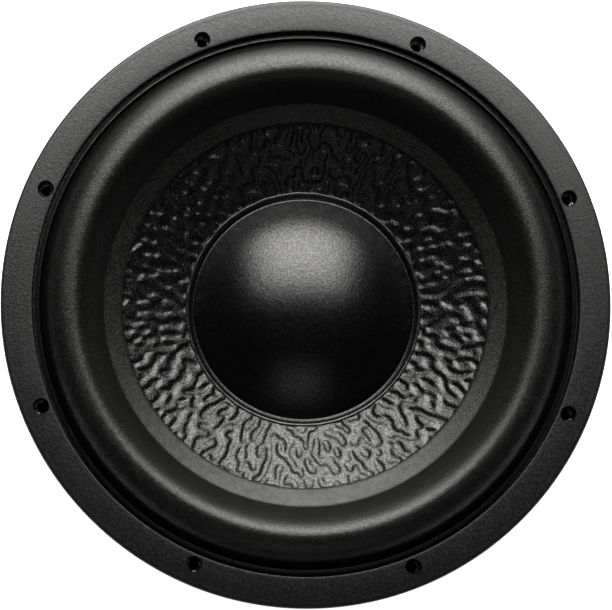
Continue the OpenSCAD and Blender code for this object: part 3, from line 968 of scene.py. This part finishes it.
LEAD_ROUTE = [[9, 109.3, -48.5], [9, 107.4, -48.3], [9, 105, -46.8], [9, 102, -45], [9.5, 98, -43.2],
              [10, 93, -42], [10.5, 87, -41.6], [11, 81, -42.2], [11, 75, -43.2], [10.5, 69, -44],
              [10, 63, -44], [9, 57, -43.6], [8, 52, -43.2], [7, 47, -43.4], [6, 43, -44.4], [5.6, 41, -46]]
LEAD_R = 1.2


def make_leads():
    """Braided leads, held by the solder tabs at one end and by the coil's neck at the other."""

    def relief(turn, s):
        return 0.95 + 0.1 * np.cos(3 * turn + 2.1 * s) * np.cos(3 * turn - 2.1 * s)

    for index in (1, 2):
        for colour, side in (("red", 1), ("black", -1)):
            route = spline([[side * x, y, z] for x, y, z in LEAD_ROUTE], 0.5)
            braid = swept(f"braid_{colour}_{index}", route, LEAD_R, 18, relief)
            lead = place(braid, turned(180 * (index - 1)))
            dress(lead, "tinsel_braid", None, f"tinsel_lead_{colour}_{index}")
            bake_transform(lead)


# ---- Basket ----

SPOKE_OUTER = [(WALL_R, -1), (WALL_R, -16), (SHELF_OUTER + 4, SHELF_Z), (SHELF_OUTER + 2, SHELF_Z - 12),
               (BASE_OUTER, BASKET.low)]
SPOKE_INNER = [(WALL_R - WALL_T, -1), (127, -16), (SHELF_OUTER - 4, SHELF_Z - 4),
               (SHELF_OUTER - 6, SHELF_Z - 12), (BASE_OUTER - 14, BASKET.low)]
SPOKE_W = 22.0
SPOKE_WEB_T = 7.0
SPOKE_FACE_T = 4.0


def spoke_plate(name, outline, width, corner, edge):
    outline = rounded(outline, corner, 5)
    return prism(name, outline, -width / 2, width / 2, turned(90, "X"), edge)


def spoke():
    """A T-shaped spoke: a broad face outside and a web behind it."""
    corners = [0.0, 9.0, 9.0, 8.0, 0.0]
    face_back = [(r - SPOKE_FACE_T, z) for r, z in SPOKE_OUTER]
    face = spoke_plate("face", SPOKE_OUTER + face_back[::-1], SPOKE_W, corners + corners[::-1], 1.3)
    web = spoke_plate("web", [(r - 0.8, z) for r, z in SPOKE_OUTER] + SPOKE_INNER[::-1], SPOKE_WEB_T,
                      corners + [0.0, 5.0, 6.0, 8.0, 0.0], 1.2)
    return combined(face, [web], "UNION")


def make_basket():
    wall_in = WALL_R - WALL_T
    rim = [(wall_in, -SPIGOT_LEN), (WALL_R, -SPIGOT_LEN), (WALL_R, 0), (BASKET.outer, 0),
           (BASKET.outer, FLANGE_T), (wall_in, FLANGE_T)]
    basket = lathe("basket_casting", rounded(rim, [1.0, 1.2, 1.2, 1.2, 1.0, 0.8], 4), SEGMENTS)
    shelf = [(SHELF_INNER, SHELF_Z - 5), (SHELF_OUTER - 3, SHELF_Z - 12), (SHELF_OUTER, SHELF_Z - 12),
             (SHELF_OUTER, SHELF_Z + 3), (SHELF_OUTER - 2, SHELF_Z + 3), (SHELF_OUTER - 2, SHELF_Z),
             (SHELF_INNER, SHELF_Z)]
    parts = [lathe("shelf", rounded(shelf, [1.0, 1.0, 1.0, 0.7, 0.7, 0.3, 0.8], 4), SEGMENTS)]
    base = rectangle(BASE_INNER, BASE_OUTER, BASKET.low, BASKET.low + BASE_T)
    parts.append(lathe("base", rounded(base, [0.8, 0.8, 1.6, 1.6], 4), SEGMENTS // 2))
    for angle in (0, 180):
        pad = block("pad", (-28, SHELF_OUTER - 3, PAD_Z - 11), (28, PAD_Y, PAD_Z + 11), 1.2)
        parts.append(place(pad, turned(angle)))
    parts += copies(spoke, SPOKE_COUNT)
    combined(basket, parts, "UNION")

    def screw_hole():
        radius = 3.0
        flare = 0.5
        low, high = BASKET.low - 1, BASKET.low + BASE_T
        outline = [(0, low), (radius, low), (radius, high - flare), (radius + flare, high),
                   (radius + flare, high + 3), (0, high + 3)]
        return place(lathe("bore", outline, 40), moved(FRAME_SCREW_R))

    def bolt_hole():
        """The hole's mouth is chewed into small steps by the bolts' threads."""
        outline = [(0, -1), (BOLT_HOLE_R, -1), (BOLT_HOLE_R, FLANGE_T - 3)]
        for step in range(3):
            r = BOLT_HOLE_R - 0.6 + 0.42 * step
            z = FLANGE_T - 2.2 + 0.75 * step
            outline += [(r, z - 0.5), (r, z), (r + 0.42, z + 0.11)]
        outline += [(GASKET_HOLE_R + 0.1, FLANGE_T), (GASKET_HOLE_R + 0.1, FLANGE_T + 3), (0, FLANGE_T + 3)]
        return place(lathe("bore", outline, 40), moved(BOLT_R))

    holes = copies(bolt_hole, BOLT_COUNT, 180 / BOLT_COUNT)
    holes += copies(screw_hole, SPOKE_COUNT, 180 / SPOKE_COUNT)
    for angle in (0, 180):
        for x in (-SCREW_X, SCREW_X):
            hole = place(rod("bore", SCREW_HOLE_R, 0, 9, 24), moved(x, PAD_Y + 1, PAD_Z) @ turned(90, "X"))
            holes.append(place(hole, turned(angle)))
    combined(basket, holes, "DIFFERENCE")
    paint(basket, "basket_coating", "bare_edge")
    for face in basket.data.polygons:
        x, y, z = face.center / MM
        turn = math.degrees(math.atan2(y, x)) % (360 / BOLT_COUNT) - 180 / BOLT_COUNT
        across = math.radians(turn) * BOLT_R
        if z > 0.1 and math.hypot(math.hypot(x, y) - BOLT_R, across) < GASKET_HOLE_R + 0.2:
            face.material_index = 1
    dress(basket, "basket_coating", "frame", "basket")


def make_frame_screws():
    """Hexagon-socket cap screws, with knurled heads."""
    size = extent("frame_screws")
    head_z = BASKET.low + BASE_T + 0.02
    head_r = 5.0
    shank_r = 2.85

    def screw():
        outline = [(0, size.low), (shank_r - 0.6, size.low), (shank_r, size.low + 0.8), (shank_r, head_z),
                   (head_r, head_z), (head_r, size.high - 0.9), (head_r - 0.5, size.high), (0, size.high)]
        columns = 96
        rings = spun(counter_clockwise(outline), columns)
        radii = np.hypot(rings[:, :, 0], rings[:, :, 1])
        on_side = (radii > head_r - 0.1) & (rings[:, :, 2] > head_z + 0.1)
        knurl = 1 - 0.035 * (np.arange(columns) % 4 < 2) * on_side
        rings[:, :, :2] *= knurl[:, :, None]
        body = ring_surface("screw", rings, True, 30)
        socket = prism("socket", arc((0, 0), 2.9, 2.9, 0, 300, 5), size.high - 3, size.high + 1)
        combined(body, [socket], "DIFFERENCE")
        return place(body, moved(FRAME_SCREW_R))

    screws = copies(screw, SPOKE_COUNT, 180 / SPOKE_COUNT)
    dress(shade(joined(screws, "motor_screws"), 30), "black_screw", "frame", "frame_screws")


# ---- Motor ----


def make_top_plate():
    plate = lathe("motor_top_plate", rounded(rectangle(*TOP_PLATE), [0.4, 0.8, 1.4, 0.8], 4), SEGMENTS)
    holes = copies(lambda: place(rod("bore", 3.0, -96, -80, 32), moved(FRAME_SCREW_R)),
                   SPOKE_COUNT, 180 / SPOKE_COUNT)
    combined(plate, holes, "DIFFERENCE")
    dress(plate, "plate_steel", "frame", "top_plate")


def make_yoke():
    """Back plate and pole in one turned piece; shallow steps from the lathe show round the vent."""
    low = YOKE.low
    back = low + 12
    vent = 14.0
    pole_r = FORMER.inner - 0.9
    seat = vent + 4.2
    outline = [(vent, low + 1.6), (seat, low + 1.6), (seat, low), (30, low), (30.5, low + 0.5),
               (34, low + 0.5), (34.5, low), (58, low), (58.4, low + 0.35), (60, low + 0.35), (60.4, low),
               (YOKE.outer - 2, low), (YOKE.outer, low + 2), (YOKE.outer, back), (45, back), (44, back - 4),
               (pole_r, back - 4), (pole_r, YOKE.high - 2), (pole_r - 2, YOKE.high), (vent + 3, YOKE.high),
               (vent, YOKE.high - 3)]
    yoke = lathe("motor_yoke", rounded(outline, 0.3, 2), SEGMENTS)
    dress(yoke, "plate_steel", "frame", "t_yoke")


def make_boot():
    """The moulded boot: fine grooves round its side and a raised bead near the front."""
    outline = [(76, BOOT.low), (BOOT.outer - 4, BOOT.low), (BOOT.outer - 1, BOOT.low + 3)]
    side = BOOT.outer - 1
    z = BOOT.low + 9
    groove = 1.1
    while z < TOP_PLATE.low - 14:
        outline += [(side, z), (side - 0.55, z + 0.35), (side - 0.55, z + groove), (side, z + groove + 0.35)]
        z += 5.2
    bead = TOP_PLATE.low - 6
    outline += [(side, bead), (BOOT.outer, bead + 1), (BOOT.outer, bead + 4), (side, bead + 5),
                (side, BOOT.high - 2), (side - 2, BOOT.high), (TOP_PLATE.outer + 0.3, BOOT.high),
                (TOP_PLATE.outer + 0.3, TOP_PLATE.low + 0.1), (side - 3.1, TOP_PLATE.low + 0.1),
                (side - 3.1, YOKE.low - 0.1), (76, YOKE.low - 0.1)]
    boot = lathe("boot", rounded(outline, 0.45, 3), SEGMENTS, 50)
    dress(boot, "boot_rubber", "frame", "magnet_boot")


def make_screen():
    """Perforated sheet over the vent, its holes in rows that step by half a pitch."""
    low, high = SCREEN.low, SCREEN.high
    disc = lathe("vent_screen", rounded(rectangle(0, SCREEN.outer, low, high), [0, 0.25, 0.25, 0], 3), 96)
    pitch = 2.5
    holes = []
    for j in range(-6, 7):
        for i in range(-9, 10):
            x = (i + j % 2 / 2) * pitch
            y = j * pitch * math.sin(math.radians(60))
            if math.hypot(x, y) < 12.6:
                holes.append(place(rod("hole", 0.85, low - 1, high + 1, 12), moved(x, y)))
    combined(disc, [joined(holes, "holes")], "DIFFERENCE")
    dress(disc, "screen_mesh", "frame", "pole_vent_screen")


# ---- Terminals, drawn as in the CAD source: seat in the plane Y = 0, posts along +Y ----

POST_X = 9.0
POST_R = 7.0
POST_LEN = 20.0
POST_FLOOR_Y = 2.4
SLEEVE_R = 4.7
WIRE_HOLE_R = 2.0
WIRE_HOLE_Y = 15.0
BUTTON_TRAVEL = 4.0
PLUNGER_Y = 11.0
PLUNGER_R = 4.1
SCREW_X = 24.0
SCREW_HOLE_R = 1.6
BASE_PLATE_T = 3.5
TAB_Y = 4.4        # near face of the solder tab
TAB_EYE_Z = 13.5   # the lead's hole in it


def at_terminal(index):
    return turned(180 * (index - 1)) @ moved(0, PAD_Y + 0.05, PAD_Z)


def along_y(x=0.0):
    """Stands a shape made along Z on the seat, so that it points along +Y."""
    return moved(x) @ turned(-90, "X")


def wire_bore(x, y):
    return place(rod("bore", WIRE_HOLE_R, -20, 20, 32), moved(x, y))


def make_terminal_base(index):
    upright = turned(-90, "X")
    plate = prism(f"terminal_housing_{index}", rounded(rectangle(-27, 27, -10, 10), 3.0, 6),
                  0, BASE_PLATE_T, upright, 0.6)
    parts = [prism("body", rounded(rectangle(-19, 19, -9, 9), 2.0, 5), 0.5, 10, upright, 0.7)]
    for side in (-1, 1):
        post = rounded(rectangle(0, POST_R, 1, POST_LEN), [0, 0, 0.8, 0], 4)
        ring = rounded(rectangle(POST_R - 1, POST_R, 10, 11.2), 0.2)
        for name, outline in (("post", post), ("ring", ring)):
            parts.append(place(lathe(name, outline, 64), along_y(side * POST_X)))
        parts += sign_bars(side)
    combined(plate, parts, "UNION")
    holes = []
    for side in (-1, 1):
        bore = [(0, POST_FLOOR_Y), (SLEEVE_R, POST_FLOOR_Y), (SLEEVE_R, POST_LEN - 0.4),
                (SLEEVE_R + 0.6, POST_LEN + 0.1), (SLEEVE_R + 0.6, 30), (0, 30)]
        holes.append(place(lathe("bore", bore, 48), along_y(side * POST_X)))
        holes.append(wire_bore(side * POST_X, WIRE_HOLE_Y))
        holes.append(place(rod("bore", SCREW_HOLE_R, -1, 6, 24), along_y(side * SCREW_X)))
        holes.append(block("slot", (side * POST_X - 2.6, 4, 0), (side * POST_X + 2.6, 5.6, 18)))
    combined(plate, holes, "DIFFERENCE")
    place(plate, at_terminal(index))
    dress(plate, "terminal_plastic", "frame", f"terminal_base_{index}")


def sign_bars(side):
    """Raised plus and minus marks on the block, beside the posts."""
    x = side * 17.2
    thick = 0.45
    bars = [block("bar", (x - 1.3, 9.6, -5.0 - thick / 2), (x + 1.3, 10.3, -5.0 + thick / 2))]
    if side > 0:
        bars.append(block("bar", (x - thick / 2, 9.6, -6.3), (x + thick / 2, 10.3, -3.7)))
    return bars


def make_button(index, colour, side):
    """A push button: ribbed cap with a dished end, on a plunger with a cross hole for the wire."""
    base = POST_LEN + BUTTON_TRAVEL + 0.3
    cap_r = 6.8
    cap_len = 7.0
    end = base + cap_len
    outline = [(0, PLUNGER_Y), (PLUNGER_R - 0.5, PLUNGER_Y), (PLUNGER_R, PLUNGER_Y + 0.5), (PLUNGER_R, base),
               (cap_r - 0.3, base), (cap_r, base + 0.4), (cap_r, base + 4.6), (cap_r - 0.2, base + 5.2),
               (cap_r - 0.9, end), (cap_r - 1.6, end), (cap_r - 3, end - 0.6), (0, end - 0.9)]
    columns = 144
    rings = spun(counter_clockwise(rounded(outline, [0] + [0.25] * 10 + [0], 2)), columns)
    radii = np.hypot(rings[:, :, 0], rings[:, :, 1])
    gripped = (radii > cap_r - 0.35) & (rings[:, :, 2] > base + 0.2) & (rings[:, :, 2] < base + 5.0)
    wave = 0.5 + 0.5 * np.cos(np.arange(columns) * 2 * math.pi / 6)
    rings[:, :, :2] *= (1 - 0.05 * wave[None, :] * gripped)[:, :, None]
    button = ring_surface(f"push_{colour}_{index}", rings, True, 35)
    place(button, along_y(side * POST_X))
    combined(button, [wire_bore(side * POST_X, WIRE_HOLE_Y + BUTTON_TRAVEL)], "DIFFERENCE")
    place(button, at_terminal(index))
    node = f"button_{colour}_{index}"
    dress(button, f"button_{colour}", node, node)


def make_spring(index, colour, side):
    """A coil spring behind the plunger."""
    turns = 5.0
    wire = 0.35
    radius = PLUNGER_R - 1
    low = POST_FLOOR_Y + 1 + wire
    high = PLUNGER_Y - wire - 0.1
    count = 150
    path = []
    for i in range(count + 1):
        a = 2 * math.pi * turns * i / count
        x = side * POST_X + radius * math.cos(a)
        path.append([x, low + (high - low) * i / count, radius * math.sin(a)])
    spring = place(swept(f"spring_{colour}_{index}", path, wire, 10), at_terminal(index))
    dress(spring, "spring_steel", "frame", f"button_spring_{colour}_{index}")
    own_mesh(spring)


def make_contacts(index):
    """Plated sleeves in the posts, each with a solder tab; a drop of solder holds the lead to the tab."""
    sleeves = []
    for side in (-1, 1):
        inner, outer = SLEEVE_R - 0.5, SLEEVE_R - 0.05
        outline = [(inner, 3.0), (inner, 19.4), (outer, 19.6), (outer, 2.45), (0, 2.45), (0, 3.0)]
        sleeve = place(lathe("sleeve", outline, 48), along_y(side * POST_X))
        tab = rounded(rectangle(-2.5, 2.5, 3.7, 16.0), [0, 0, 1.6, 1.6], 6)
        tab = prism("tab", tab, -TAB_Y - 0.8, -TAB_Y, moved(side * POST_X) @ turned(90, "X"), 0.12, 2)
        eye = place(rod("eye", 1.1, 3, 7, 24), moved(side * POST_X, 0, TAB_EYE_Z) @ along_y())
        combined(sleeve, [tab], "UNION")
        sleeves.append(combined(sleeve, [wire_bore(side * POST_X, WIRE_HOLE_Y), eye], "DIFFERENCE"))
        drop = [(0.0, 0.0), (2.1, 0.02), (1.9, 0.5), (1.5, 1.0), (0.9, 1.35), (0.0, 1.5)]
        drop = place(lathe(f"solder_{'red' if side > 0 else 'black'}_{index}", drop, 32, 80),
                     at_terminal(index) @ moved(side * POST_X, TAB_Y, TAB_EYE_Z) @ turned(90, "X"))
        paint(drop, "solder")
        dress(drop, "contact_metal", "frame")
    contacts = place(joined(sleeves, f"contacts_{index}"), at_terminal(index))
    dress(shade(contacts, 30), "contact_metal", "frame", f"terminal_contacts_{index}")


def make_terminal_screws():
    """Pan-head screws with a cross recess."""
    screws = []
    for index in (1, 2):
        for x in (-SCREW_X, SCREW_X):
            z = BASE_PLATE_T + 0.02
            outline = [(0, z - 8.5), (0.4, z - 8.5), (1.5, z - 7.2), (1.5, z), (2.9, z), (2.9, z + 0.7)]
            outline += arc((0, z + 0.7), 2.9, 1.2, 10, 90, 8)
            screw = place(lathe("screw", outline, 48), along_y(x))
            cross = [block("bar", (x - 1.5, z + 0.9, -0.3), (x + 1.5, z + 4, 0.3)),
                     block("bar", (x - 0.3, z + 0.9, -1.5), (x + 0.3, z + 4, 1.5))]
            combined(cross[0], [cross[1]], "UNION")
            screws.append(place(combined(screw, [cross[0]], "DIFFERENCE"), at_terminal(index)))
    dress(shade(joined(screws, "terminal_screw_set"), 30), "zinc_screw", "frame", "terminal_screws")


# ---- Camera, floor and light ----

TARGET = Vector((-0.0006, -0.0019, GASKET.high * MM))
CAMERA_DISTANCE = 1.5
CAMERA_TILT_Y = 5.7      # degrees from the axis towards -Y
CAMERA_TILT_X = 2.6      # degrees from the axis towards -X
CAMERA_ROLL = 0.7
CAMERA_LENS = 169.8


def make_camera():
    data = bpy.data.cameras.new("camera")
    data.lens = CAMERA_LENS
    data.sensor_width = 36
    data.clip_start = 0.05
    data.clip_end = 50
    camera = bpy.data.objects.new("camera", data)
    bpy.context.scene.collection.objects.link(camera)
    x, y = [-math.tan(math.radians(tilt)) for tilt in (CAMERA_TILT_X, CAMERA_TILT_Y)]
    back = Vector((x, y, 1)).normalized()
    right = Vector((0, 1, 0)).cross(back).normalized()
    turn = Matrix((right, back.cross(right), back)).transposed().to_4x4() @ turned(CAMERA_ROLL)
    camera.matrix_world = Matrix.Translation(TARGET + back * CAMERA_DISTANCE) @ turn
    bpy.context.scene.camera = camera


def area_light(name, position, aim, width, height, power, color=(1, 1, 1)):
    data = bpy.data.lights.new(name, "AREA")
    data.shape = "RECTANGLE"
    data.size = width
    data.size_y = height
    data.energy = power
    data.color = color
    light = bpy.data.objects.new(name, data)
    bpy.context.scene.collection.objects.link(light)
    direction = Vector(aim) - Vector(position)
    light.rotation_euler = direction.to_track_quat("-Z", "Y").to_euler()
    light.location = position


def make_floor():
    """A pale sheet under the driver, a little luminous so that it stays white round a black object."""
    f = Finish("pale_floor", (0.86, 0.86, 0.86), 0.6)
    f.patches(120, 3, 0.4, 0.7, (0.84, 0.84, 0.845))
    f.grain(6, 3, 0.02)
    f.shader.inputs["Emission Color"].default_value = (1, 1, 1, 1)
    f.shader.inputs["Emission Strength"].default_value = 1.0
    half = 3000.0
    z = BOOT.low - 0.05
    floor = made("floor", [(x, y, z) for x, y in rectangle(-half, half, -half, half)], [[0, 1, 2, 3]])
    floor.data.materials.append(f.material)
    # Painted shade: a ring of black card behind the flange stands where the holes would be in shadow, so that
    # the bolt holes read dark from the front instead of showing the pale floor.
    hole_shade_ring = tube("hole_shade_ring", WALL_R + 1.5, BASKET.outer - 3, -0.6, -0.1, 0.05)
    # The card's near-black colour is painted shade, not a part of the driver.
    paint = Finish("painted_hole_shade", (0.004, 0.004, 0.004), 0.9)
    paint.grain(1, 2, 0.02)
    hole_shade_ring.data.materials.append(paint.material)


WARM = (1.0, 0.992, 0.970)


def make_lights():
    """Two softboxes above the driver, a weak fill from below it and three lights low behind it."""
    world = bpy.data.worlds.new("studio")
    world.use_nodes = True
    background = world.node_tree.nodes["Background"]
    background.inputs["Color"].default_value = (1, 1, 1, 1)
    background.inputs["Strength"].default_value = 0.015
    bpy.context.scene.world = world
    area_light("softbox", (0, 0.52, 0.47), (0, 0.0, 0.02), 0.84, 0.78, 13.3, WARM)
    area_light("softbox_middle", (0, 0.515, 0.465), (0, 0.0, 0.02), 0.5, 0.40, 2.3, WARM)
    area_light("front_fill", (0, -0.75, 0.65), (0, 0.0, 0.0), 0.5, 0.4, 0.32, WARM)
    for name, x, y in (("rear_left", -0.46, -0.36), ("rear_right", 0.46, -0.36), ("far", 0.0, 0.6)):
        area_light(name, (x, y, -0.09), (0, 0, -0.09), 0.5, 0.13, 0.9)
    bpy.context.scene.view_settings.view_transform = "Standard"
    bpy.context.scene.view_settings.look = "None"


# ---- Everything ----

make_camera()
make_gasket()
make_surround()
make_cone()
make_dust_cap()
make_glue_bead()
make_spider()
make_coil()
make_neck_glue()
make_leads()
make_basket()
make_frame_screws()
make_top_plate()
make_yoke()
make_boot()
make_screen()
for number in (1, 2):
    make_terminal_base(number)
    make_contacts(number)
    for tone, hand in (("red", 1), ("black", -1)):
        make_button(number, tone, hand)
        make_spring(number, tone, hand)
make_terminal_screws()
for magnet in ("magnet_rear", "magnet_front"):
    paint(NODES[magnet], "ferrite")
make_floor()
make_lights()

bpy.context.view_layer.update()
